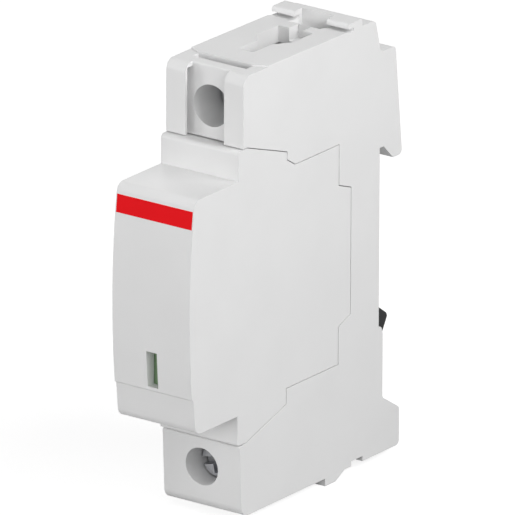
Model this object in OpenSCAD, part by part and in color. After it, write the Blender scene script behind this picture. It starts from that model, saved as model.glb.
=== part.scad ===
// Pluggable surge arrester for a 35 mm mounting rail. A C-shaped base holds two screw
// terminals and the rail latch, and a cartridge with a status flag plugs into its bay.
// X runs across the module, Y to the back and Z up. The origin is the middle of the rail seat.
// Depths are measured forward from the rail seat, heights up or down from the rail's middle.

/* [Module] */
// Width of the module
module_w = 17.6; // [16:0.1:27]
// Gap along the parting line between base and cartridge
seam_gap = 0.15; // [0.15:0.05:0.4]
// Wall on the closed right side
side_wall = 1.4; // [1:0.1:2]
// Thickness of the two side covers
cover_t = 1.3; // [0.8:0.1:1.6]
// Ledge that a side cover sits on
cover_ledge = 0.7; // [0.4:0.1:0.8]
// Gap around a side cover
cover_gap = 0.06; // [0.03:0.01:0.12]
// Clearance between pieces that slide past each other
slide_gap = 0.3; // [0.2:0.05:0.4]

/* [Rail seat] */
// Height of the slot that takes the rail's two flanges
rail_slot = 35.2; // [35:0.1:36]
// Height of the hook's lip below the slot's top
hook_lip = 3; // [2:0.1:4]
// Depth of the hook behind the rail seat
hook_reach = 7.06; // [6:0.1:8]
// Height of the shelf on top of the hook
hook_top = 36.3; // [34:0.1:38]
// Depth of the hook's shelf behind the rail seat
hook_shelf = 4.85; // [4:0.1:5.5]
// Depth of the foot behind the rail seat
foot_reach = 6.65; // [5:0.1:8]
// Height below the rail's middle at which the foot starts
foot_top = 35.2; // [34:0.1:37]

/* [Base] */
// Height of the top plate
top_z = 43.35; // [42:0.05:46]
// Height of the bottom face below the rail's middle
bottom_z = 42.63; // [41:0.05:46]
// Depth of the upper terminal's front
upper_front = 42.7; // [41:0.1:44]
// Depth of the lower terminal's front at its upper edge
lower_front = 43.6; // [42:0.1:44]
// How far the lower terminal's front leans back
lower_draft = 0.7; // [0:0.1:1.5]
// Wall around the rooms of the base
base_wall = 1.6; // [1.2:0.1:1.8]
// Thickness of the top and bottom around the wire entries
entry_t = 3.6; // [3:0.05:4]
// Height of the ridge above the top plate
ridge_h = 1.1; // [0.6:0.1:2]
// Depth of the ridge's front
ridge_front = 9.95; // [9:0.05:11]
// Thickness of the ridge from front to back
ridge_t = 4.3; // [3.5:0.1:5]
// Height of the nub under the base
nub_h = 1.52; // [0.5:0.02:2]

/* [Upper terminal front] */
// Gap between the two front columns
column_gap = 8.78; // [8:0.02:9.5]
// Depth of the recess between the columns
recess_depth = 2.1; // [1.5:0.05:2.5]
// Thickness of the columns' front lips
lip_t = 0.55; // [0.4:0.05:1.2]
// Width of the slot behind the lips
lip_slot_w = 13.4; // [12:0.1:14]
// Depth of the trench below the top plate
trench_h = 2.6; // [1.5:0.05:2.8]
// Width of the trench
trench_w = 12.3; // [11:0.1:13]

/* [Terminals] */
// Depth of the upper busbar's clamping face
upper_clamp = 20.6; // [20:0.1:22]
// Distance of the upper clamp screw below the top plate
upper_screw_drop = 8.05; // [7.4:0.05:8.4]
// Distance of the lower clamp screw above the bottom face
lower_screw_rise = 8.3; // [7.6:0.05:8.6]
// Radius of the upper screwdriver hole
upper_hole_r = 4.05; // [3.6:0.05:4.2]
// Radius of the lower screwdriver hole
lower_hole_r = 3.7; // [3.6:0.05:4.2]
// Radius of a clamp screw's thread
screw_r = 2.5; // [2:0.1:2.8]
// Radius of a clamp screw's head
screw_head_r = 3.35; // [3.2:0.05:3.5]
// Height of a clamp screw's head
screw_head_h = 2.6; // [2:0.1:3]
// Radial clearance of a clamp screw in its cage
thread_gap = 0.06; // [0.02:0.01:0.1]
// Thickness of the busbars
bar_t = 1.2; // [1:0.1:1.5]
// Width of the busbars
bar_w = 7.8; // [6:0.1:7.9]
// Clear height of an open clamp
clamp_open = 6.2; // [5.8:0.1:6.4]
// Travel of a cage from open to closed
cage_travel = 5.6; // [4:0.1:5.7]
// Thickness of a cage's sides
cage_side = 1.2; // [1:0.1:1.5]
// Thickness of a cage's threaded front
cage_front_t = 2.4; // [2:0.1:2.8]
// Thickness of a cage's back
cage_back_t = 1.5; // [1.2:0.1:1.8]
// Width of the lower wire entry
entry_w = 8.3; // [8:0.1:9]
// Width of the upper wire entry
upper_entry_w = 7.9; // [7.6:0.1:8.2]
// Offset of the upper wire entry to the right
upper_entry_x = 0.23; // [0:0.01:0.3]

/* [Cartridge] */
// Depth of the nose at its fullest
nose_front = 59.15; // [57:0.05:61]
// Radius of the nose's curved front
nose_r = 170; // [120:5:260]
// Height of the nose's top
nose_top = 23.36; // [23:0.02:24]
// Height of the nose's underside below the rail's middle
nose_bottom = 22.32; // [22:0.02:23]
// Height of the grip zone's edge below the rail's middle
grip_z = 15.05; // [14.9:0.05:16]
// Setback of the grip zone
grip_step = 0.45; // [0.2:0.05:0.6]
// Depth of the riser's front
riser_front = 44.25; // [43.8:0.05:45]
// Height of the riser's top
riser_top = 29.1; // [28.5:0.1:30]
// Height of the riser's lower edge below the rail's middle
riser_bottom = 28.2; // [27.6:0.1:29]
// Depth of the cartridge's back
plug_back = 9.04; // [8.5:0.02:9.6]
// Half height of the cartridge's back
plug_back_half = 12.4; // [11.5:0.1:12.8]
// Depth of the faces that carry the blades
blade_face = 12.85; // [12.5:0.05:13.5]
// Half height at which those faces start
blade_face_half = 13.8; // [13.4:0.1:14.2]
// Height of the plug's top
plug_top = 21.75; // [21.4:0.05:22.2]
// Height of the plug's underside below the rail's middle
plug_bottom = 21.2; // [21:0.05:21.8]
// Wall of the cartridge's shell
shell_wall = 1.8; // [1.5:0.1:2]

/* [Contacts] */
// Thickness of the blades
blade_t = 1; // [0.8:0.1:1.4]
// Distance of a blade's inner edge from the start of its face
blade_edge = 1.6; // [1.5:0.05:2]
// Depth of the blades' tips
blade_tip = 5.6; // [5.5:0.1:6.5]
// Thickness of the jaws' leaves
leaf_t = 0.7; // [0.5:0.1:0.7]

/* [Status flag] */
// Width of the window
window_w = 2.4; // [1.6:0.05:3.4]
// Height of the window
window_h = 7; // [5:0.1:7.2]
// Height of the window's lower edge below the rail's middle
window_low = 14.45; // [14.2:0.05:14.6]
// Depth of the flag behind the nose's fullest point
flag_depth = 2.75; // [1.8:0.05:3]
// Thickness of the flag
flag_t = 0.8; // [0.5:0.1:1]
// Gap between the flag and the wall around the window
flag_gap = 0.12; // [0.1:0.02:0.3]
// Travel of the flag and its carriage when the arrester trips
flag_travel = 8.2; // [7.8:0.1:8.4]

/* [Arrester element] */
// Free depth between the varistor and the backing plate
varistor_gap = 3.3; // [2:0.1:8]
// Thickness of the varistor
varistor_t = 6; // [4:0.1:6]
// Thickness of the electrode on the varistor's left face
electrode_t = 0.6; // [0.4:0.1:0.8]

/* [Latch] */
// Thickness of the latch's plate
latch_t = 2.3; // [2:0.1:2.4]
// Travel of the latch
latch_travel = 3.4; // [3:0.1:3.8]
// Height of the latch's hook above the slot's lower edge
latch_lip = 3.35; // [2.5:0.05:4]
// Depth of the latch's hook behind the rail seat
latch_reach = 4.75; // [4:0.05:5.5]

/* [Hidden] */
$fn = 48;
eps = 0.01;
far = 20;
half = module_w / 2;
slot_half = rail_slot / 2;
inner_right = half - side_wall;
inner_left = -half + cover_t;

// Levels of the base
column_z = top_z - 0.25;
ridge_z = top_z + ridge_h;
plate_back_z = top_z - 0.3;
slit_low = top_z - 0.6;
shoulder_z = top_z - 0.35;
lip_top_z = top_z - 1.2;
trench_front = upper_front - 4.4;
trench_back = upper_front - 6.5;
plate_front = trench_back - 1.3;
recess_y = upper_front - recess_depth;
hook_low = slot_half - hook_lip;
latch_seat_y = 1.3;

// Wings of the cartridge, which reach under the terminals
wing_front = 41.45;
wing_back = 29.1;
wing_top = 24.9;
wing_low = 24.25;
key_depth = 26.5;
key_z = 23.35;
wing_slope = (riser_top - wing_top) / (wing_front - wing_back);
low_slope = (riser_bottom - wing_low) / (wing_front - wing_back);

// Rooms of the base
room_back = 3.3;
channel_floor = 1.7;
jaw_front = blade_face - seam_gap - base_wall + 0.1;
jaw_floor = blade_face_half + seam_gap + 0.95;
upper_floor = plug_top + seam_gap + base_wall;
lower_ceiling = plug_bottom + seam_gap + base_wall;
upper_ceiling = top_z - entry_t;
lower_floor = bottom_z - entry_t;
front_gap = 0.4;
end_gap = 0.6;
head_back_offset = bar_t + front_gap + cage_front_t + cage_travel + end_gap;
head_room = 0.2;
bar_rest = 0.1;
lower_clamp = wing_back - base_wall - bar_t - bar_rest;
upper_screw_z = top_z - upper_screw_drop;
lower_screw_z = bottom_z - lower_screw_rise;
upper_room_front = upper_clamp + head_back_offset + head_room;
lower_room_front = lower_clamp + head_back_offset + head_room;

// Cages and screws
cage_gap = 0.4;
cage_in = max(entry_w, bar_w) + 2 * (cage_gap - 0.25);
cage_out = cage_in + 2 * cage_side;
cage_up = 3.2;
cage_down = 4.6;
drive_slot_w = 1.5;
drive_slot_h = 2;
upper_slot_turn = 35;
lower_slot_turn = -12.5;

// Cartridge interior
blade_end = 18;
blade_rest = 0.1;
blade_z = blade_face_half + blade_edge;
blade_h = plug_bottom - shell_wall - blade_rest - blade_z;
plate_t = 0.8;
varistor_right = 5;
varistor_left = varistor_right - varistor_t;
varistor_back = 19.5;
post_r = 1.6;
electrode_edge = 3;
strip_overlap = 6;
electrode_face = varistor_left - electrode_t;
tongue_t = 1;
tongue_right = electrode_face - slide_gap;
tongue_left = tongue_right - tongue_t;
bar_left = tongue_left - 2.1;
post_right = bar_left + 1.6;
runner_w = 6;
runner_mid = 40;
carriage_top = 8;
carriage_low = 13;
spring_y = runner_mid;
spring_x = (inner_left + slide_gap + bar_left) / 2;
flag_front = nose_front - flag_depth;
flag_top = window_low - window_h - 0.85;
flag_low = window_low + 0.55;
flag_right = window_w / 2 + 1.2;
backing_front = flag_front - flag_t - slide_gap;
backing_t = 0.75;
varistor_l = backing_front - backing_t - varistor_gap - varistor_back;

// Latch
latch_half = half - side_wall - 0.5;
latch_hook_half = latch_half + 0.4;
latch_front = channel_floor - slide_gap;
latch_top = slot_half + 0.4;
latch_low = bottom_z + nub_h - 0.25;
spring_r = 0.85;
wire_r = 0.2;
lug_top = 31;
lug_h = 1.4;
latch_window_half = 1.9;
spring_solid = 4.6;
latch_window_top = lug_top - latch_travel - spring_solid;

// Vector helpers for outlines that run clockwise, seen with Y to the right and Z up
function unit(v) = v / norm(v);
function inward(a, b) = let (v = unit(b - a)) [v[1], -v[0]];
function plan(p) = [p[0], p[1]];
function ring_item(list, i) = list[(i + len(list)) % len(list)];

// An outline moved inward by d, or outward for a negative d, with each corner's radius kept
function inset(points, d) = [
    for (i = [0 : len(points) - 1])
        let (
            p = plan(points[i]),
            before = inward(plan(ring_item(points, i - 1)), p),
            after = inward(p, plan(ring_item(points, i + 1))),
            q = p + d * (before + after) / (1 + before * after)
        )
        [q[0], q[1], len(points[i]) > 2 ? points[i][2] : 0]
];

// An outline's corners rounded by the radius that each one names
arc_steps = 6;
function corner_arc(before, p, after, r) =
    let (
        u = unit(before - p),
        v = unit(after - p),
        angle = acos(u * v) / 2,
        middle = p + unit(u + v) * r / sin(angle),
        first = p + u * r / tan(angle) - middle,
        last = p + v * r / tan(angle) - middle,
        turn = 180 - 2 * angle
    )
    [for (k = [0 : arc_steps])
        middle + (first * sin(turn * (1 - k / arc_steps)) + last * sin(turn * k / arc_steps)) / sin(turn)];
function rounded(points) = [
    for (i = [0 : len(points) - 1])
        let (
            p = points[i],
            r = len(p) > 2 ? p[2] : 0,
            before = plan(ring_item(points, i - 1)),
            after = plan(ring_item(points, i + 1))
        )
        for (q = r > 0 ? corner_arc(before, plan(p), after, r) : [plan(p)]) q
];

// Outline of the cartridge, clockwise from the riser's top, with a plain or a stepped nose
nose_mid = 1;
nose_edge_r = 1.9;
grip_edge_r = 2;
riser_edge_r = 0.8;
riser_low_r = 0.4;
nose_steps = 12;
function nose_y(z) = nose_r - nose_front - sqrt(nose_r ^ 2 - (z - nose_mid) ^ 2);
function nose_curve(low) = [
    for (k = [0 : nose_steps])
        let (z = low + (nose_top - low) * k / nose_steps)
        [nose_y(z), z, k == nose_steps ? nose_edge_r : 0]
];
function cartridge_plug() = [
    [-riser_front, riser_top, riser_edge_r],
    [-wing_front, riser_top],
    [-wing_back, wing_top],
    [-wing_back, key_z],
    [-key_depth, plug_top],
    [-blade_face, plug_top],
    [-blade_face, blade_face_half],
    [-plug_back, plug_back_half],
    [-plug_back, -plug_back_half],
    [-blade_face, -blade_face_half],
    [-blade_face, -plug_bottom],
    [-wing_back, -plug_bottom],
    [-wing_back, -wing_low],
    [-wing_front, -riser_bottom],
    [-riser_front, -riser_bottom, riser_low_r],
    [-riser_front, -nose_bottom]
];
grip_lean = 0.3;
cartridge_plain = concat(cartridge_plug(), nose_curve(-nose_bottom), [[-riser_front, nose_top]]);
cartridge_outline = concat(
    cartridge_plug(),
    [
        [nose_y(-nose_bottom) + grip_lean, -nose_bottom, grip_edge_r],
        [nose_y(-grip_z) + grip_step, -grip_z - 0.7 * grip_step]
    ],
    nose_curve(-grip_z),
    [[-riser_front, nose_top]]
);

// Outline of the base, clockwise from the upper terminal's lower front edge
lower_edge_r = 2.2;
base_outline = [
    [-upper_front, riser_top - 1],
    [-upper_front, column_z, 2],
    [-trench_back, column_z],
    [-trench_back, top_z],
    [-ridge_front - 1.2, plate_back_z],
    [-ridge_front, slit_low],
    [-ridge_front, ridge_z, 0.6],
    [-ridge_front + ridge_t, ridge_z, 0.25],
    [-ridge_front + ridge_t, shoulder_z],
    [-1.56, shoulder_z, 1.2],
    [0.23, hook_top],
    [hook_shelf, hook_top, 0.9],
    [hook_reach, hook_low, 0.9],
    [4.23, hook_low, 0.2],
    [1.24, slot_half],
    [0, slot_half],
    [0, -slot_half],
    [0.85, -slot_half, 0.8],
    [latch_seat_y, -slot_half - 1.7, 1],
    [latch_seat_y, -foot_top + 3.4, 1],
    [foot_reach, -foot_top, 1],
    [foot_reach, -bottom_z, 0.9],
    [-4.9, -bottom_z],
    [-4.9, -bottom_z + 1],
    [-8.5, -bottom_z + 1],
    [-8.5, -bottom_z],
    [-10.6, -bottom_z],
    [-13.4, -bottom_z - nub_h],
    [-16.65, -bottom_z - nub_h],
    [-16.65, -bottom_z],
    [-lower_front + lower_draft, -bottom_z, lower_edge_r],
    [-lower_front, -riser_bottom + 1]
];

// Rooms of the base, clockwise
upper_room = [
    [-upper_room_front, upper_ceiling],
    [-room_back, upper_ceiling],
    [-room_back, jaw_floor],
    [-jaw_front, jaw_floor],
    [-jaw_front, upper_floor],
    [-key_depth + 0.8, upper_floor],
    [-wing_back + base_wall, wing_top + seam_gap + base_wall],
    [-upper_room_front, wing_top + (upper_room_front - wing_back) * wing_slope + seam_gap + base_wall]
];
lower_room = [
    [-lower_room_front, -wing_low - (lower_room_front - wing_back) * low_slope - seam_gap - base_wall],
    [-wing_back + base_wall, -wing_low - seam_gap - base_wall],
    [-wing_back + base_wall, -lower_ceiling],
    [-jaw_front, -lower_ceiling],
    [-jaw_front, -jaw_floor],
    [-room_back, -jaw_floor],
    [-room_back, -lower_floor],
    [-lower_room_front, -lower_floor]
];
spine_half = plug_back_half - 1.3;
spine_front = plug_back - seam_gap - 1.4;
spine_back = 1.5;
spine_room = [
    [-spine_front, spine_half],
    [-spine_back, spine_half],
    [-spine_back, -spine_half],
    [-spine_front, -spine_half]
];
hook_room_low = slot_half + 2.4;
hook_room_top = hook_top - 1.8;
hook_lean = (hook_reach - hook_shelf) / (hook_top - hook_low);
hook_room = [
    [-base_wall, hook_room_top],
    [hook_shelf - base_wall + 1.8 * hook_lean, hook_room_top],
    [hook_reach - base_wall - (hook_room_low - hook_low) * hook_lean, hook_room_low],
    [-base_wall, hook_room_low]
];
base_rooms = [upper_room, lower_room, spine_room, hook_room];

// Outlines of the upper wire entry with its probe slot and of the blind pocket behind its ribs, from above
probe_half = 1.7;
probe_end = upper_clamp + 9.85;
probe_edge_r = 0.8;
funnel_l = 3.9;
rib_half = 1.55;
rib_front = 14.75;
rib_back = 11.9;
gap_half = 3.7;
gap_back = 7.4;
pocket_h = 2.9;
entry_half = upper_entry_w / 2;
function both_sides(right) = concat(
    right,
    [for (k = [len(right) - 1 : -1 : 0])
        concat(-right[k][0], [for (i = [1 : len(right[k]) - 1]) right[k][i]])]
);
entry_outline = rounded(both_sides([
    [probe_half, -probe_end, probe_edge_r],
    [probe_half, -upper_clamp - funnel_l],
    [entry_half, -upper_clamp - 0.8],
    [entry_half, -rib_front]
]));
rib_slot_outline = both_sides([[rib_half, -rib_front - 1], [rib_half, -rib_back - eps]]);
ridge_gap_outline = both_sides([[gap_half, -rib_back], [gap_half, -gap_back]]);

// An outline of depth and height extruded across the module, from x0 to x1
module across(x0, x1) {
    translate([x0, 0, 0])
        rotate([90, 0, 90])
            linear_extrude(x1 - x0)
                children();
}

// A block centred on the module's middle, w wide, from y0 to y1 and from z0 to z1
module slab(w, y0, y1, z0, z1) {
    translate([-w / 2, y0, z0])
        cube([w, y1 - y0, z1 - z0]);
}

// A block from x0 to x1, y0 to y1 and z0 to z1
module block(x0, x1, y0, y1, z0, z1) {
    translate([x0, y0, z0])
        cube([x1 - x0, y1 - y0, z1 - z0]);
}

// A round bar along Y, from y0 to y1 at height z
module bar_y(r, y0, y1, z) {
    translate([0, y0, z])
        rotate([-90, 0, 0])
            cylinder(y1 - y0, r, r);
}

// Children made for the upper half, mirrored for the lower half
module lower_half() {
    mirror([0, 0, 1])
        children();
}

// A tube of radius r along a path of points, with its sides set out from a reference direction
module tube(path, r, sides, reference) {
    last = len(path) - 1;
    points = [
        for (i = [0 : last])
            let (
                along = unit(path[min(i + 1, last)] - path[max(i - 1, 0)]),
                side = unit(cross(reference, along)),
                rise = cross(along, side)
            )
            for (k = [0 : sides - 1])
                let (a = 360 * k / sides)
                path[i] + r * (cos(a) * side + sin(a) * rise)
    ];
    walls = [
        for (i = [0 : last - 1])
            for (k = [0 : sides - 1])
                let (
                    n = (k + 1) % sides,
                    a = i * sides + k,
                    b = (i + 1) * sides + k,
                    c = (i + 1) * sides + n,
                    d = i * sides + n
                )
                for (face = [[a, b, c], [a, c, d]]) face
    ];
    start_cap = [[for (k = [0 : sides - 1]) k]];
    end_cap = [[for (k = [sides - 1 : -1 : 0]) last * sides + k]];
    polyhedron(points, concat(start_cap, walls, end_cap));
}

// A coil spring along Z, from z0 to z1 round the point x, y
coil_turn_steps = 14;
module coil(x, y, z0, z1, r, wire, turns) {
    steps = turns * coil_turn_steps;
    low = z0 + wire;
    rise = z1 - z0 - 2 * wire;
    path = [
        for (i = [0 : steps])
            let (a = 360 * i / coil_turn_steps)
            [x + r * cos(a), y + r * sin(a), low + rise * i / steps]
    ];
    tube(path, wire, 6, [0, 0, 1]);
}

// The base cover's plate, grown by a gap on every side
bridge_half = 2;
bridge_mid = (room_back + spine_front) / 2;
module base_cover_plate(x0, x1, grow) {
    for (room = base_rooms)
        across(x0, x1)
            polygon([for (p = inset(room, -cover_ledge - grow)) plan(p)]);
    for (side = [-1, 1])
        block(x0, x1, -bridge_mid - bridge_half - grow, -bridge_mid + bridge_half + grow,
            side * (spine_half + jaw_floor) / 2 - 3, side * (spine_half + jaw_floor) / 2 + 3);
    block(x0, x1, -room_back - 1, -base_wall + 1, hook_room_low + 2 - grow, hook_room_top - 2 + grow);
}

// Cut that rounds an upper front edge at depth y and height z
module front_edge_cut(y, z, r) {
    difference() {
        translate([-y - eps, z - r])
            square([r + eps, r + eps]);
        translate([-y + r, z - r])
            circle(r);
    }
}

// Front of the upper terminal: the recess, the slot behind the lips, the trench in front of the
// top plate, and the plate's corners, which slant back from the trench to the sides
block_edge_r = 0.4;
module upper_front_cuts() {
    slab(column_gap, -upper_front - far, -recess_y, riser_top, top_z + far);
    slab(lip_slot_w, -upper_front + lip_t, -recess_y, riser_top, lip_top_z);
    slab(trench_w, -trench_front, -trench_back, top_z - trench_h, top_z + far);
    across(-column_gap / 2, column_gap / 2)
        front_edge_cut(recess_y, column_z, block_edge_r);
    for (side = [-1, 1])
        translate([0, 0, column_z])
            linear_extrude(far)
                polygon([
                    [side * trench_w / 2, -trench_back - eps],
                    [side * (half + eps), -trench_back - eps],
                    [side * (half + eps), -plate_front]
                ]);
}

// Wire entries through the top and the bottom
module wire_entries() {
    translate([upper_entry_x, 0, upper_ceiling - eps])
        linear_extrude(entry_t + far)
            polygon(entry_outline);
    translate([upper_entry_x, 0, top_z - pocket_h])
        linear_extrude(pocket_h + far)
            polygon(rib_slot_outline);
    translate([0, 0, top_z - pocket_h])
        linear_extrude(pocket_h + far)
            polygon(ridge_gap_outline);
    slab(entry_w, -lower_clamp - 0.9, -lower_clamp + clamp_open - 0.3, -bottom_z - far, -lower_floor + eps);
}

// Channel for the rail latch, with the slot in front of the foot
module latch_channel() {
    w = 2 * (latch_half + slide_gap);
    slab(w, -channel_floor, far, -foot_top + 1.2, -slot_half);
    slab(w, -channel_floor, latch_seat_y, -bottom_z - far, -foot_top + 2);
    slab(w - 2, latch_seat_y + 1.6, foot_reach - 1.5, -bottom_z - far, -foot_top - 1.5);
}

// Slot that a blade passes through, in a wall at the blade's face
module blade_slot(gap) {
    slab(blade_t + 2 * gap, -blade_face - far / 4, -jaw_front + eps,
        blade_z - gap, blade_z + blade_h + gap);
}

slit_h = 0.7;
slit_t = 1.6;
joint_gap = 2 * seam_gap;
joint_t = 1.2;
lower_top_r = 0.5;
blade_room = 0.35;
module base_housing() {
    color("gainsboro") {
        difference() {
            across(-half, half)
                polygon(rounded(base_outline));
            across(-half - eps, half + eps)
                polygon([for (p = inset(cartridge_plain, -seam_gap)) plan(p)]);
            for (room = base_rooms)
                across(-half - eps, inner_right)
                    polygon(room);
            base_cover_plate(-half - eps, inner_left, cover_gap);
            upper_front_cuts();
            wire_entries();
            bar_y(upper_hole_r, -upper_front - far, -upper_room_front + eps, upper_screw_z);
            bar_y(lower_hole_r, -lower_front - far, -lower_room_front + eps, -lower_screw_z);
            slab(module_w + far, -lower_front - eps, -lower_front + joint_t,
                -riser_bottom - joint_gap, -riser_bottom);
            across(-half - eps, half + eps)
                front_edge_cut(lower_front, -riser_bottom - joint_gap, lower_top_r);
            slab(module_w + far, -ridge_front - eps, -ridge_front + slit_t, slit_low, slit_low + slit_h);
            blade_slot(blade_room);
            lower_half()
                blade_slot(blade_room);
            latch_channel();
        }
        slab(2 * (latch_window_half - slide_gap - 0.1), -channel_floor - eps, latch_t - channel_floor,
            -lug_top - lug_h, -lug_top);
    }
}

module base_cover() {
    color("gainsboro")
        base_cover_plate(-half, inner_left, 0);
}

// A busbar: the plate that the wire is clamped on, its run to the back and the leg with the jaw
leg_w = 6;
module busbar(clamp, screw_z, floor_z) {
    slab(bar_w, -clamp - bar_t, -clamp, floor_z, screw_z + cage_up - 0.3);
    slab(bar_w, -clamp - bar_t, -room_back, floor_z, floor_z + bar_t);
    slab(leg_w, -room_back - bar_t, -room_back, jaw_floor, floor_z + bar_t);
}

module upper_busbar() {
    color("peru")
        busbar(upper_clamp, upper_screw_z, upper_floor);
}

module lower_busbar() {
    color("peru")
        lower_half()
            busbar(lower_clamp, lower_screw_z, lower_ceiling);
}

// A jaw: two leaves on a base, with flared mouths
jaw_back = room_back + bar_t;
jaw_in = blade_t / 2 + slide_gap;
jaw_mouth = jaw_front - slide_gap;
jaw_flare = 0.5;
jaw_top = blade_z + blade_h + slide_gap;
module jaw() {
    outer = jaw_in + leaf_t;
    translate([0, 0, blade_z])
        linear_extrude(jaw_top - blade_z)
            polygon([
                [-outer, -jaw_back],
                [outer, -jaw_back],
                [outer, -jaw_mouth + 1],
                [outer + jaw_flare, -jaw_mouth],
                [jaw_in + jaw_flare, -jaw_mouth],
                [jaw_in, -jaw_mouth + 1],
                [jaw_in, -jaw_back - leaf_t],
                [-jaw_in, -jaw_back - leaf_t],
                [-jaw_in, -jaw_mouth + 1],
                [-jaw_in - jaw_flare, -jaw_mouth],
                [-outer - jaw_flare, -jaw_mouth],
                [-outer, -jaw_mouth + 1]
            ]);
}

module upper_jaw() {
    color("tan")
        jaw();
}

module lower_jaw() {
    color("tan")
        lower_half()
            jaw();
}

// A spring clip that straddles the jaw's leaves
clip_t = 0.5;
clip_w = 2.4;
clip_back = jaw_back + leaf_t + 0.9;
module jaw_clip() {
    outer = 2 * (jaw_in + leaf_t + clip_t);
    difference() {
        slab(outer, -clip_back - clip_w, -clip_back, blade_z + 0.4, jaw_top + clip_t);
        slab(outer - 2 * clip_t, -clip_back - clip_w - eps, -clip_back + eps, blade_z, jaw_top);
    }
}

module upper_jaw_clip() {
    color("silver")
        jaw_clip();
}

module lower_jaw_clip() {
    color("silver")
        lower_half()
            jaw_clip();
}

// A rising cage: a band round the busbar and the wire, threaded at the front and grooved inside
groove_count = 4;
groove_h = 0.8;
groove_depth = 0.3;
module cage(clamp, screw_z) {
    front = -clamp - bar_t - front_gap;
    back = -clamp + clamp_open;
    low = screw_z - cage_down;
    high = screw_z + cage_up;
    difference() {
        slab(cage_out, front - cage_front_t, back + cage_back_t, low, high);
        slab(cage_in, front, back, low - eps, high + eps);
        bar_y(screw_r + thread_gap, front - cage_front_t - eps, front + eps, screw_z);
        for (k = [1 : groove_count])
            translate([0, 0, low + (high - low) * k / (groove_count + 1) - groove_h / 2])
                slab(cage_in - 1, back - eps, back + groove_depth, 0, groove_h);
    }
}

module upper_cage() {
    color("lightgray")
        cage(upper_clamp, upper_screw_z);
}

module lower_cage() {
    color("lightgray")
        lower_half()
            cage(lower_clamp, lower_screw_z);
}

// A clamp screw with a slotted cross drive and a chamfered tip
tip_h = 0.6;
head_edge = 0.4;
cross_l = 5;
module clamp_screw(clamp, screw_z, slot_turn) {
    head_back = clamp + head_back_offset;
    shank_l = head_back_offset - bar_t - slide_gap;
    translate([0, -head_back - screw_head_h, screw_z])
        rotate([-90, 0, 0]) {
            difference() {
                union() {
                    cylinder(head_edge, screw_head_r - head_edge, screw_head_r);
                    translate([0, 0, head_edge])
                        cylinder(screw_head_h - head_edge, screw_head_r, screw_head_r);
                }
                rotate([0, 0, slot_turn]) {
                    translate([-far / 2, -drive_slot_w / 2, -eps])
                        cube([far, drive_slot_w, drive_slot_h]);
                    translate([-drive_slot_w / 2, -cross_l / 2, -eps])
                        cube([drive_slot_w, cross_l, drive_slot_h]);
                }
            }
            translate([0, 0, screw_head_h - eps])
                cylinder(shank_l - tip_h + eps, screw_r, screw_r);
            translate([0, 0, screw_head_h + shank_l - tip_h])
                cylinder(tip_h, screw_r, screw_r - tip_h);
        }
}

module upper_screw() {
    color("lightgray")
        clamp_screw(upper_clamp, upper_screw_z, upper_slot_turn);
}

module lower_screw() {
    color("lightgray")
        clamp_screw(lower_clamp, -lower_screw_z, lower_slot_turn);
}

// The rail latch: a sliding plate with a hook behind the rail and a pull tab below
pull_half = 3.5;
pull_top = bottom_z - 1.2;
hook_front = latch_seat_y + 0.35;
hook_tip = -slot_half + latch_lip;
hook_h = 8;
hook_root = 0.6;
module rail_latch() {
    color("dimgray") {
        difference() {
            union() {
                slab(2 * latch_half, -latch_front, latch_t - latch_front, -pull_top, -latch_top);
                slab(2 * pull_half, -latch_front, latch_t - latch_front, -latch_low, -pull_top + eps);
            }
            slab(2 * latch_window_half, -latch_front - eps, latch_t - latch_front + eps,
                -lug_top - lug_h - slide_gap, -latch_window_top);
        }
        across(-latch_half, latch_half)
            polygon([
                [0, hook_tip - hook_h - hook_root],
                [0, -latch_top],
                [hook_front + eps, -latch_top],
                [hook_front + eps, hook_tip - hook_h + hook_root]
            ]);
        across(-latch_hook_half, latch_hook_half)
            polygon(rounded([
                [hook_front, hook_tip],
                [latch_reach - 0.35, hook_tip - 2.0, 0.5],
                [latch_reach, hook_tip - 2.65, 0.5],
                [latch_reach - 0.45, hook_tip - 3.55],
                [latch_reach - 1.55, hook_tip - 5.45],
                [hook_front, hook_tip - hook_h]
            ]));
    }
}

module latch_spring() {
    color("silver")
        coil(0, latch_t / 2 - latch_front, -lug_top, -latch_window_top, spring_r, wire_r, 6);
}

// Pocket for the flag behind the window
pocket_gap = 0.4;
module flag_pocket() {
    block(bar_left - pocket_gap, flag_right + pocket_gap, -flag_front - flag_gap, -flag_front + 2,
        -flag_low - pocket_gap, -flag_top + flag_travel + pocket_gap);
}

// Frame that carries the window's walls back to the flag
bezel_w = 1;
bezel_t = 0.9;
module window_bezel() {
    slab(window_w + 2 * bezel_w, -flag_front - flag_gap - bezel_t, -flag_front - flag_gap,
        -window_low - bezel_w, -window_low + window_h + bezel_w);
}

// Posts that carry the varistor's right electrode, and the ledges that carry the backing plate
post_inset = 6;
ledge_h = 1.6;
module shell_supports() {
    for (y = [varistor_back + post_inset, varistor_back + varistor_l - post_inset])
        for (side = [-1, 1])
            translate([varistor_right + plate_t, -y, side * (varistor_l / 2 - post_inset)])
                rotate([0, 90, 0])
                    cylinder(inner_right - varistor_right - plate_t + eps, post_r, post_r);
    for (z = [-flag_low + 0.3, -flag_top - ledge_h - 0.3])
        block(1.5, inner_right + eps, -backing_front + backing_t, -backing_front + backing_t + 1.2,
            z, z + ledge_h);
}

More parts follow.
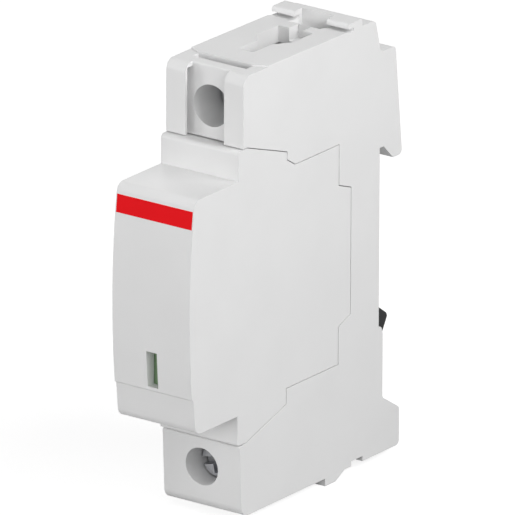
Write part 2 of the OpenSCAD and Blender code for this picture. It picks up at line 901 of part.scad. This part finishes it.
blade_fit = 0.04;
shell_room = [for (p = inset(cartridge_plain, shell_wall)) plan(p)];
module cartridge_shell() {
    color("whitesmoke") {
        difference() {
            union() {
                difference() {
                    across(-half, half)
                        polygon(rounded(cartridge_outline));
                    across(-half - eps, inner_right)
                        polygon(shell_room);
                    across(-half - eps, inner_left)
                        polygon([for (p = inset(cartridge_plain, shell_wall - cover_ledge - cover_gap)) plan(p)]);
                }
                window_bezel();
            }
            slab(window_w, -nose_front - far, -flag_front, -window_low, -window_low + window_h);
            flag_pocket();
            blade_slot(blade_fit);
            lower_half()
                blade_slot(blade_fit);
        }
        shell_supports();
    }
}

// The cartridge's cover, with the two ribs that guide the trip carriage
guide_t = 1;
guide_low = 17;
guide_top = 8;
module cartridge_cover() {
    color("whitesmoke") {
        across(-half, inner_left)
            polygon([for (p = inset(cartridge_plain, shell_wall - cover_ledge)) plan(p)]);
        for (side = [-1, 1])
            translate([0, -runner_mid + side * (runner_w / 2 + slide_gap + guide_t / 2), 0])
                block(inner_left - eps, bar_left - 2 * slide_gap, -guide_t / 2, guide_t / 2,
                    -guide_low, guide_top);
    }
}

varistor_mid = varistor_back + varistor_l / 2;
function varistor_square(edge, r) =
    let (s = varistor_l / 2 - edge)
    [
        [-varistor_mid - s, s, r],
        [-varistor_mid + s, s, r],
        [-varistor_mid + s, -s, r],
        [-varistor_mid - s, -s, r]
    ];

module varistor() {
    color("steelblue")
        across(varistor_left, varistor_right)
            polygon(rounded(varistor_square(0, 3)));
}

module tab_electrode() {
    color("peru")
        across(electrode_face, varistor_left)
            polygon(rounded(varistor_square(electrode_edge, 2)));
}

// A blade with a tapered tip, from its inner end to its tip
blade_taper = 0.3;
module blade(inner_end) {
    s = blade_t / 2;
    translate([0, 0, blade_z])
        linear_extrude(blade_h)
            polygon([
                [-s, -inner_end],
                [-s, -blade_tip - 1],
                [-s + blade_taper, -blade_tip],
                [s - blade_taper, -blade_tip],
                [s, -blade_tip - 1],
                [s, -inner_end]
            ]);
}

module upper_blade() {
    color("peru")
        blade(blade_end);
}

// The lower blade is stamped in one piece with the varistor's right electrode
module lower_blade() {
    neck = blade_end - 1.6;
    color("peru") {
        across(varistor_right, varistor_right + plate_t)
            polygon(rounded(varistor_square(electrode_edge, 2)));
        block(varistor_right, varistor_right + plate_t, -varistor_back - strip_overlap, -neck,
            -blade_z - blade_h, electrode_edge + 1 - varistor_l / 2);
        block(-blade_t / 2, varistor_right + plate_t, -neck - plate_t, -neck, -blade_z - blade_h, -blade_z);
        lower_half()
            blade(neck + plate_t);
    }
}

module flag_backing() {
    color("firebrick")
        block(post_right + pocket_gap, flag_right, -backing_front, -backing_front + backing_t,
            -flag_low, -flag_top);
}

// The trip carriage: a runner in the cover's guides, a bar beside the varistor and a post for the flag
bar_back = 26;
bar_front = 53.5;
module trip_carriage() {
    post_front = flag_front - flag_t;
    color("ivory") {
        block(inner_left + slide_gap, bar_left + eps,
            -runner_mid - runner_w / 2, -runner_mid + runner_w / 2, -carriage_low - 1, -carriage_top + 4);
        block(bar_left, tongue_left, -bar_front, -bar_back, -carriage_low, -carriage_top);
        block(bar_left, post_right, -post_front, -bar_front + 1, -flag_low + 0.4, -flag_top - 0.4);
    }
}

tongue_front = 33;
tongue_back = 24;
module contact_tongue() {
    color("peru")
        block(tongue_left, tongue_right, -tongue_front, -tongue_back,
            -carriage_low + 0.6, -carriage_top - 0.6);
}

module status_flag() {
    color("seagreen")
        block(bar_left, flag_right, -flag_front, -flag_front + flag_t, -flag_low, -flag_top);
}

module trip_spring() {
    color("silver")
        coil(spring_x, -spring_y, -plug_bottom + shell_wall, -carriage_low - 1, spring_r, wire_r, 5);
}

// Route of the flexible lead from the contact tongue to the upper blade
lead_r = 0.7;
lead_end = 0.05;
lead_straight = 0.9;
lead_low = -(carriage_low + carriage_top) / 2;
lead_high = blade_z + blade_h / 2;
tongue_mid = (tongue_left + tongue_right) / 2;
lead_route = [
    [tongue_mid, -tongue_back + slide_gap, lead_low],
    [tongue_mid, -tongue_back + slide_gap + lead_straight, lead_low],
    [tongue_mid - 0.5, -21.8, lead_low + 4],
    [tongue_mid - 0.8, -21.4, 0],
    [tongue_mid - 0.8, -21.2, 7],
    [tongue_mid - 0.5, -20.8, 12.5],
    [tongue_mid + 0.2, -20.2, lead_high - 1.6],
    [tongue_mid + 1.4, -19.6, lead_high - 0.3],
    [0, -blade_end - lead_end - lead_straight, lead_high],
    [0, -blade_end - lead_end, lead_high]
];
module flexible_lead() {
    color("chocolate")
        tube(lead_route, lead_r, 8, [1, 0, 0]);
}

base_housing();
base_cover();
upper_busbar();
lower_busbar();
upper_jaw();
lower_jaw();
upper_jaw_clip();
lower_jaw_clip();
upper_cage();
lower_cage();
upper_screw();
lower_screw();
rail_latch();
latch_spring();
cartridge_shell();
cartridge_cover();
varistor();
tab_electrode();
upper_blade();
lower_blade();
flag_backing();
trip_carriage();
contact_tongue();
status_flag();
trip_spring();
flexible_lead();
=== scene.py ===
import math

import bpy
from mathutils import Matrix, Vector


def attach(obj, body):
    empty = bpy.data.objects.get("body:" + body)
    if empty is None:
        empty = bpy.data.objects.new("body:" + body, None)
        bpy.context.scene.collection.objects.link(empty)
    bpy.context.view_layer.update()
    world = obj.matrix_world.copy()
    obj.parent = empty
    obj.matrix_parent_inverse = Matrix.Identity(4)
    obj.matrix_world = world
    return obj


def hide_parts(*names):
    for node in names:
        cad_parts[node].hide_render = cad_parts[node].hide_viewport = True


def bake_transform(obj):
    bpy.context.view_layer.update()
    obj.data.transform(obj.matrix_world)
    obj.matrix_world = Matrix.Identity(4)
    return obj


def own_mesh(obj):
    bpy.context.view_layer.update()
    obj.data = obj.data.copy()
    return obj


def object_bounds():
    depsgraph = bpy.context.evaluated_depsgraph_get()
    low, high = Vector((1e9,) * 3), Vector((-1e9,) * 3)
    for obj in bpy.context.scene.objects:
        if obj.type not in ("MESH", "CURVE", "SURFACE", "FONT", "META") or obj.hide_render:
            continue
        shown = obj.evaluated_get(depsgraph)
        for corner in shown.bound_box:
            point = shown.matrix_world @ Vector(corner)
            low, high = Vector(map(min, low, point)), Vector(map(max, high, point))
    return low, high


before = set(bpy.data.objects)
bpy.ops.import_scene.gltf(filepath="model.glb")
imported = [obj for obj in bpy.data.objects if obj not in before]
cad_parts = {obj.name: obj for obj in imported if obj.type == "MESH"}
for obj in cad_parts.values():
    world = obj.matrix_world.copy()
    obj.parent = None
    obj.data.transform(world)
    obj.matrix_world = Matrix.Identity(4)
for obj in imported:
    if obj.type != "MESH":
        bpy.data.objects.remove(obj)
cad_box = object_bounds()

MM = 0.001


def linear(red, green, blue):
    """An 8-bit display colour as the linear values that shaders take."""
    def one(c):
        c /= 255.0
        return c / 12.92 if c <= 0.04045 else ((c + 0.055) / 1.055) ** 2.4
    return (one(red), one(green), one(blue), 1.0)


# Materials

# Radii that break the edges of mouldings and of metal pieces
MOULDED_EDGE = 0.1 * MM
STAMPED_EDGE = 0.08 * MM
EDGE_SAMPLES = 6

# Noise scales are in cells per metre
CLOUD_SCALE = 90.0
GRAIN_SCALE = 5200.0
GRAIN_ROUGH = 0.06
GRAIN_STRENGTH = 0.12
STREAK_SCALE = 1500.0
STREAK_STRENGTH = 0.15
MOTTLE_SCALE = 400.0
BRAID_SCALE = 900.0
BRAID_STRENGTH = 0.5
RELIEF = 0.02 * MM
BRAID_RELIEF = 0.1 * MM


class Nodes:
    """A material's node tree with short calls for the few nodes used here."""

    def __init__(self, name):
        self.material = bpy.data.materials.new(name)
        self.material.use_nodes = True
        self.tree = self.material.node_tree
        self.shader = self.tree.nodes["Principled BSDF"]
        self.place = self.tree.nodes.new("ShaderNodeTexCoord")

    def link(self, source, target):
        self.tree.links.new(source, target)

    def stretched(self, scale):
        mapping = self.tree.nodes.new("ShaderNodeMapping")
        mapping.inputs["Scale"].default_value = scale
        self.link(self.place.outputs["Object"], mapping.inputs["Vector"])
        return mapping.outputs["Vector"]

    def noise(self, scale, detail=3.0, where=None):
        noise = self.tree.nodes.new("ShaderNodeTexNoise")
        noise.inputs["Scale"].default_value = scale
        noise.inputs["Detail"].default_value = detail
        self.link(where or self.place.outputs["Object"], noise.inputs["Vector"])
        return noise.outputs["Fac"]

    def ramp(self, value, low, high, start=0.3, end=0.7):
        ramp = self.tree.nodes.new("ShaderNodeValToRGB")
        ramp.color_ramp.elements[0].position = start
        ramp.color_ramp.elements[1].position = end
        ramp.color_ramp.elements[0].color = low
        ramp.color_ramp.elements[1].color = high
        self.link(value, ramp.inputs["Fac"])
        return ramp.outputs["Color"]

    def rough(self, value, low, high):
        spread = self.tree.nodes.new("ShaderNodeMapRange")
        spread.inputs["To Min"].default_value = low
        spread.inputs["To Max"].default_value = high
        self.link(value, spread.inputs["Value"])
        self.link(spread.outputs["Result"], self.shader.inputs["Roughness"])

    def bump(self, value, strength, distance, edge):
        """Fine relief on the surface, with its sharp edges broken by a small radius."""
        broken = self.tree.nodes.new("ShaderNodeBevel")
        broken.samples = EDGE_SAMPLES
        broken.inputs["Radius"].default_value = edge
        bump = self.tree.nodes.new("ShaderNodeBump")
        bump.inputs["Strength"].default_value = strength
        bump.inputs["Distance"].default_value = distance
        self.link(value, bump.inputs["Height"])
        self.link(broken.outputs["Normal"], bump.inputs["Normal"])
        self.link(bump.outputs["Normal"], self.shader.inputs["Normal"])


def shade(colour, factor):
    return (colour[0] * factor, colour[1] * factor, colour[2] * factor, 1.0)


def plastic(name, colour, rough, spread=0.012, specular=0.4):
    """Moulded plastic: a fine spark-eroded grain and a faint cloudiness."""
    nodes = Nodes(name)
    cloud = nodes.noise(CLOUD_SCALE, 2.0)
    grain = nodes.noise(GRAIN_SCALE, 2.0)
    nodes.link(nodes.ramp(cloud, shade(colour, 1 - spread), shade(colour, 1 + spread)),
               nodes.shader.inputs["Base Color"])
    nodes.rough(grain, rough - GRAIN_ROUGH, rough + GRAIN_ROUGH)
    nodes.bump(grain, GRAIN_STRENGTH, RELIEF, MOULDED_EDGE)
    nodes.shader.inputs["Specular IOR Level"].default_value = specular
    return nodes.material


def metal(name, colour, rough, brushed=(1.0, 1.0, 1.0), spread=0.08):
    """Plated or drawn metal: streaks along one direction and a soft mottle."""
    nodes = Nodes(name)
    streak = nodes.noise(STREAK_SCALE, 4.0, nodes.stretched(brushed))
    mottle = nodes.noise(MOTTLE_SCALE, 3.0)
    nodes.link(nodes.ramp(mottle, shade(colour, 1 - spread), shade(colour, 1 + spread)),
               nodes.shader.inputs["Base Color"])
    nodes.rough(streak, rough - 0.08, rough + 0.1)
    nodes.bump(streak, STREAK_STRENGTH, RELIEF, STAMPED_EDGE)
    nodes.shader.inputs["Metallic"].default_value = 1.0
    return nodes.material


def braid(name, colour):
    """Braided copper: slanting bands, with painted shade darkening the colour between the strands.
    """
    nodes = Nodes(name)
    wave = nodes.tree.nodes.new("ShaderNodeTexWave")
    wave.inputs["Scale"].default_value = BRAID_SCALE
    wave.inputs["Distortion"].default_value = 3.0
    wave.inputs["Detail"].default_value = 2.0
    wave.bands_direction = "DIAGONAL"
    nodes.link(nodes.place.outputs["Object"], wave.inputs["Vector"])
    # The colour ramp paints shade between the strands: the wave's troughs take a darker copper.
    nodes.link(nodes.ramp(wave.outputs["Fac"], shade(colour, 0.6), shade(colour, 1.1)),
               nodes.shader.inputs["Base Color"])
    nodes.bump(wave.outputs["Fac"], BRAID_STRENGTH, BRAID_RELIEF, STAMPED_EDGE)
    nodes.shader.inputs["Metallic"].default_value = 1.0
    nodes.shader.inputs["Roughness"].default_value = 0.4
    return nodes.material


GREY = linear(228, 228, 228)
HOUSING = plastic("housing_grey", GREY, 0.5)
CARTRIDGE = plastic("cartridge_grey", GREY, 0.48)
LATCH = plastic("latch_dark", linear(36, 36, 37), 0.5, 0.05, 0.15)
GREEN = plastic("flag_green", linear(128, 158, 121), 0.45, 0.03)
RED = plastic("backing_red", linear(205, 30, 34), 0.4, 0.03)
PRINT = plastic("print_red", linear(237, 22, 30), 0.6, 0.02, 0.05)
IVORY = plastic("carriage_ivory", linear(224, 219, 203), 0.45)
COAT = plastic("varistor_coat", linear(44, 84, 140), 0.55, 0.06)
TIN = metal("tinned_copper", linear(206, 201, 192), 0.36, (1.0, 1.0, 0.1))
ZINC = metal("zinc_steel", linear(184, 185, 188), 0.38, (1.0, 0.15, 1.0))
SPRING = metal("spring_steel", linear(176, 178, 182), 0.28)
COPPER = braid("braided_copper", linear(206, 132, 92))

FINISH = {
    "base_housing": HOUSING, "base_cover": HOUSING,
    "cartridge_shell": CARTRIDGE, "cartridge_cover": CARTRIDGE,
    "upper_busbar": TIN, "lower_busbar": TIN, "upper_jaw": TIN, "lower_jaw": TIN,
    "upper_jaw_clip": SPRING, "lower_jaw_clip": SPRING,
    "upper_cage": ZINC, "lower_cage": ZINC, "upper_screw": ZINC, "lower_screw": ZINC,
    "rail_latch": LATCH, "latch_spring": SPRING, "trip_spring": SPRING,
    "varistor": COAT, "tab_electrode": TIN, "upper_blade": TIN, "lower_blade": TIN,
    "contact_tongue": TIN, "flexible_lead": COPPER, "trip_carriage": IVORY,
    "flag_backing": RED, "status_flag": GREEN,
}

# Faces that meet at a larger angle than this keep a sharp edge between them
SHARP_ANGLE = math.radians(30)
MERGE_DISTANCE = 1e-6


def shading_group():
    """Geometry nodes that drop the loaded normals and shade smooth up to the sharp edges."""
    group = bpy.data.node_groups.new("shading", "GeometryNodeTree")
    group.interface.new_socket("Geometry", in_out="INPUT", socket_type="NodeSocketGeometry")
    group.interface.new_socket("Geometry", in_out="OUTPUT", socket_type="NodeSocketGeometry")
    drop = group.nodes.new("GeometryNodeRemoveAttribute")
    drop.inputs["Name"].default_value = "custom_normal"
    faces = group.nodes.new("GeometryNodeSetShadeSmooth")
    faces.domain = "FACE"
    edges = group.nodes.new("GeometryNodeSetShadeSmooth")
    edges.domain = "EDGE"
    sharp = group.nodes.new("GeometryNodeSetShadeSmooth")
    sharp.domain = "EDGE"
    sharp.inputs["Shade Smooth"].default_value = False
    bend = group.nodes.new("GeometryNodeInputMeshEdgeAngle")
    steep = group.nodes.new("FunctionNodeCompare")
    steep.operation = "GREATER_THAN"
    steep.inputs["B"].default_value = SHARP_ANGLE
    group.links.new(bend.outputs["Unsigned Angle"], steep.inputs["A"])
    group.links.new(steep.outputs["Result"], sharp.inputs["Selection"])
    chain = [group.nodes.new("NodeGroupInput"), drop, faces, edges, sharp,
             group.nodes.new("NodeGroupOutput")]
    for first, second in zip(chain, chain[1:]):
        group.links.new(first.outputs[0], second.inputs[0])
    return group


SHADING = shading_group()


def even_shading(obj):
    """Keeps flat faces flat and round ones smooth, by modifiers only."""
    merge = obj.modifiers.new("merge", "WELD")
    merge.merge_threshold = MERGE_DISTANCE
    shading = obj.modifiers.new("shading", "NODES")
    shading.node_group = SHADING
    even = obj.modifiers.new("even", "WEIGHTED_NORMAL")
    even.keep_sharp = True


for node, material in FINISH.items():
    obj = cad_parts[node]
    obj.data.materials.clear()
    obj.data.materials.append(material)
    even_shading(obj)


# Added pieces

def add_mesh(name, verts, faces, material, body):
    mesh = bpy.data.meshes.new(name)
    mesh.from_pydata([Vector(v) * MM for v in verts], [], faces)
    mesh.update()
    obj = bpy.data.objects.new(name, mesh)
    bpy.context.scene.collection.objects.link(obj)
    mesh.materials.append(material)
    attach(obj, body)


# The nose's front in mm: how far it stands out, its radius and the height of its middle
NOSE_FRONT = 59.15
NOSE_R = 170.0
NOSE_MID = 1.0


def nose_y(z):
    """Depth of the nose's curved front at height z, in mm."""
    return NOSE_R - NOSE_FRONT - math.sqrt(NOSE_R ** 2 - (z - NOSE_MID) ** 2)


def front_band(name, x0, x1, z0, z1, proud, sunk, steps, material, body):
    """A thin printed band that follows the nose's curve."""
    verts = []
    faces = []
    for k in range(steps + 1):
        z = z0 + (z1 - z0) * k / steps
        y = nose_y(z)
        verts += [(x0, y - proud, z), (x1, y - proud, z), (x1, y + sunk, z), (x0, y + sunk, z)]
    for k in range(steps):
        a = 4 * k
        b = a + 4
        for side in range(4):
            n = (side + 1) % 4
            faces.append((a + side, a + n, b + n, b + side))
    faces.append((3, 2, 1, 0))
    top = 4 * steps
    faces.append((top, top + 1, top + 2, top + 3))
    add_mesh(name, verts, faces, material, body)


# The printed band in mm: half its width, its edges, and how far it stands out of and into the nose
BAND_HALF = 8.6
BAND_LOW = 17.9
BAND_HIGH = 21.35
BAND_PROUD = 0.02
BAND_SUNK = 0.1
BAND_STEPS = 4
front_band("print_band", -BAND_HALF, BAND_HALF, BAND_LOW, BAND_HIGH, BAND_PROUD, BAND_SUNK,
           BAND_STEPS, PRINT, "cartridge")


# Springs and lead: copies of their solids, shown in place of the hidden solids

def pliable(node, name):
    """A copy of a CAD solid, shown in its place."""
    obj = bpy.data.objects.new(name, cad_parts[node].data.copy())
    bpy.context.scene.collection.objects.link(obj)
    even_shading(obj)
    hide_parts(node)
    return obj


latch_coil = pliable("latch_spring", "latch_spring_coil")
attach(latch_coil, "base")
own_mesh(latch_coil)

trip_coil = pliable("trip_spring", "trip_spring_coil")
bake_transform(trip_coil)

lead = pliable("flexible_lead", "flexible_lead_braid")
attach(lead, "cartridge")
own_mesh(lead)


# Stage: floor, light and camera

WHITE = (1.0, 1.0, 1.0, 1.0)
FLOOR_DARK = (0.37, 0.37, 0.37, 1.0)
FLOOR_PALE = (0.39, 0.39, 0.39, 1.0)
FLOOR_GLOW = 0.84
FLOOR_GAP = 0.1 * MM
FLOOR_HALF = 4.0
SKY_STRENGTH = 0.045


def seen_rays(tree):
    """1 for rays that the camera, a gloss or a clear piece sends out, 0 for the light's own."""
    path = tree.nodes.new("ShaderNodeLightPath")
    gloss = tree.nodes.new("ShaderNodeMath")
    gloss.operation = "MAXIMUM"
    clear = tree.nodes.new("ShaderNodeMath")
    clear.operation = "MAXIMUM"
    tree.links.new(path.outputs["Is Camera Ray"], gloss.inputs[0])
    tree.links.new(path.outputs["Is Glossy Ray"], gloss.inputs[1])
    tree.links.new(gloss.outputs[0], clear.inputs[0])
    tree.links.new(path.outputs["Is Transmission Ray"], clear.inputs[1])
    return clear.outputs[0]


def floor_material():
    """Pale floor that keeps the shadow and looks white to the camera elsewhere."""
    nodes = Nodes("floor_white")
    tree = nodes.tree
    nodes.link(nodes.ramp(nodes.noise(40.0, 2.0), FLOOR_DARK, FLOOR_PALE),
               nodes.shader.inputs["Base Color"])
    nodes.shader.inputs["Roughness"].default_value = 0.9
    nodes.shader.inputs["Specular IOR Level"].default_value = 0.0
    glow = tree.nodes.new("ShaderNodeEmission")
    glow.inputs["Strength"].default_value = FLOOR_GLOW
    none = tree.nodes.new("ShaderNodeEmission")
    none.inputs["Strength"].default_value = 0.0
    pick = tree.nodes.new("ShaderNodeMixShader")
    nodes.link(seen_rays(tree), pick.inputs[0])
    nodes.link(none.outputs[0], pick.inputs[1])
    nodes.link(glow.outputs[0], pick.inputs[2])
    total = tree.nodes.new("ShaderNodeAddShader")
    nodes.link(nodes.shader.outputs[0], total.inputs[0])
    nodes.link(pick.outputs[0], total.inputs[1])
    nodes.link(total.outputs[0], tree.nodes["Material Output"].inputs["Surface"])
    return nodes.material


floor_z = cad_box[0][2] - FLOOR_GAP
floor_mesh = bpy.data.meshes.new("floor")
floor_mesh.from_pydata([(-FLOOR_HALF, -FLOOR_HALF, floor_z), (FLOOR_HALF, -FLOOR_HALF, floor_z),
                        (FLOOR_HALF, FLOOR_HALF, floor_z), (-FLOOR_HALF, FLOOR_HALF, floor_z)],
                       [], [(0, 1, 2, 3)])
floor = bpy.data.objects.new("floor", floor_mesh)
bpy.context.scene.collection.objects.link(floor)
floor_mesh.materials.append(floor_material())

world = bpy.data.worlds.new("studio")
bpy.context.scene.world = world
world.use_nodes = True
studio = world.node_tree
sky = studio.nodes["Background"]
sky.inputs["Color"].default_value = WHITE
sky.inputs["Strength"].default_value = SKY_STRENGTH
backdrop = studio.nodes.new("ShaderNodeBackground")
backdrop.inputs["Color"].default_value = WHITE
backdrop.inputs["Strength"].default_value = 1.0
sky_pick = studio.nodes.new("ShaderNodeMixShader")
studio.links.new(seen_rays(studio), sky_pick.inputs[0])
studio.links.new(sky.outputs[0], sky_pick.inputs[1])
studio.links.new(backdrop.outputs[0], sky_pick.inputs[2])
studio.links.new(sky_pick.outputs[0], studio.nodes["World Output"].inputs["Surface"])


def area_light(name, place, target, size, power):
    """A round lamp at place that faces target."""
    light = bpy.data.lights.new(name, "AREA")
    light.shape = "DISK"
    light.size = size
    light.energy = power
    obj = bpy.data.objects.new(name, light)
    obj.location = Vector(place)
    obj.rotation_euler = (Vector(target) - Vector(place)).to_track_quat("-Z", "Y").to_euler()
    bpy.context.scene.collection.objects.link(obj)


# Name, place and size in metres, power in watts; all face the object's middle
MIDDLE = (0.0, -0.026, 0.0)
LAMPS = [
    ("key", (0.322, 0.0, 0.315), 0.42, 1.76),
    ("key_front", (0.29, -0.287, 0.225), 0.36, 0.64),
    ("fill_front", (0.0, -1.06, 0.22), 0.6, 1.5),
    ("fill_low", (-0.336, -1.06, 0.06), 0.44, 1.95),
    ("fill_left", (-0.416, -0.375, 0.086), 0.22, 0.83),
    ("fill_back", (-0.437, 0.28, 0.133), 0.32, 0.6),
]
for name, place, size, power in LAMPS:
    area_light(name, place, MIDDLE, size, power)

# Camera, from the fit to the photograph: angles in degrees, lengths in metres
AZIMUTH = math.radians(36.167)
ELEVATION = math.radians(19.586)
ROLL = math.radians(0.2165)
FOCAL_PX = 19148.49
IMAGE_PX = 515.0
CAMERA_AT = Vector((1.962768, -2.711159, 1.185084))
back = Vector((math.sin(AZIMUTH) * math.cos(ELEVATION), -math.cos(AZIMUTH) * math.cos(ELEVATION),
               math.sin(ELEVATION)))
level = Vector((math.cos(AZIMUTH), math.sin(AZIMUTH), 0.0))
rise = back.cross(level)
right = math.cos(ROLL) * level + math.sin(ROLL) * rise
up = math.cos(ROLL) * rise - math.sin(ROLL) * level
lens = bpy.data.cameras.new("camera")
lens.sensor_fit = "HORIZONTAL"
lens.sensor_width = 36.0
lens.lens = FOCAL_PX * lens.sensor_width / IMAGE_PX
lens.clip_start = 0.1
lens.clip_end = 50.0
camera = bpy.data.objects.new("camera", lens)
camera.matrix_world = Matrix((
    (right.x, up.x, back.x, CAMERA_AT.x),
    (right.y, up.y, back.y, CAMERA_AT.y),
    (right.z, up.z, back.z, CAMERA_AT.z),
    (0.0, 0.0, 0.0, 1.0)))
bpy.context.scene.collection.objects.link(camera)
bpy.context.scene.camera = camera
bpy.context.scene.view_settings.view_transform = "Standard"
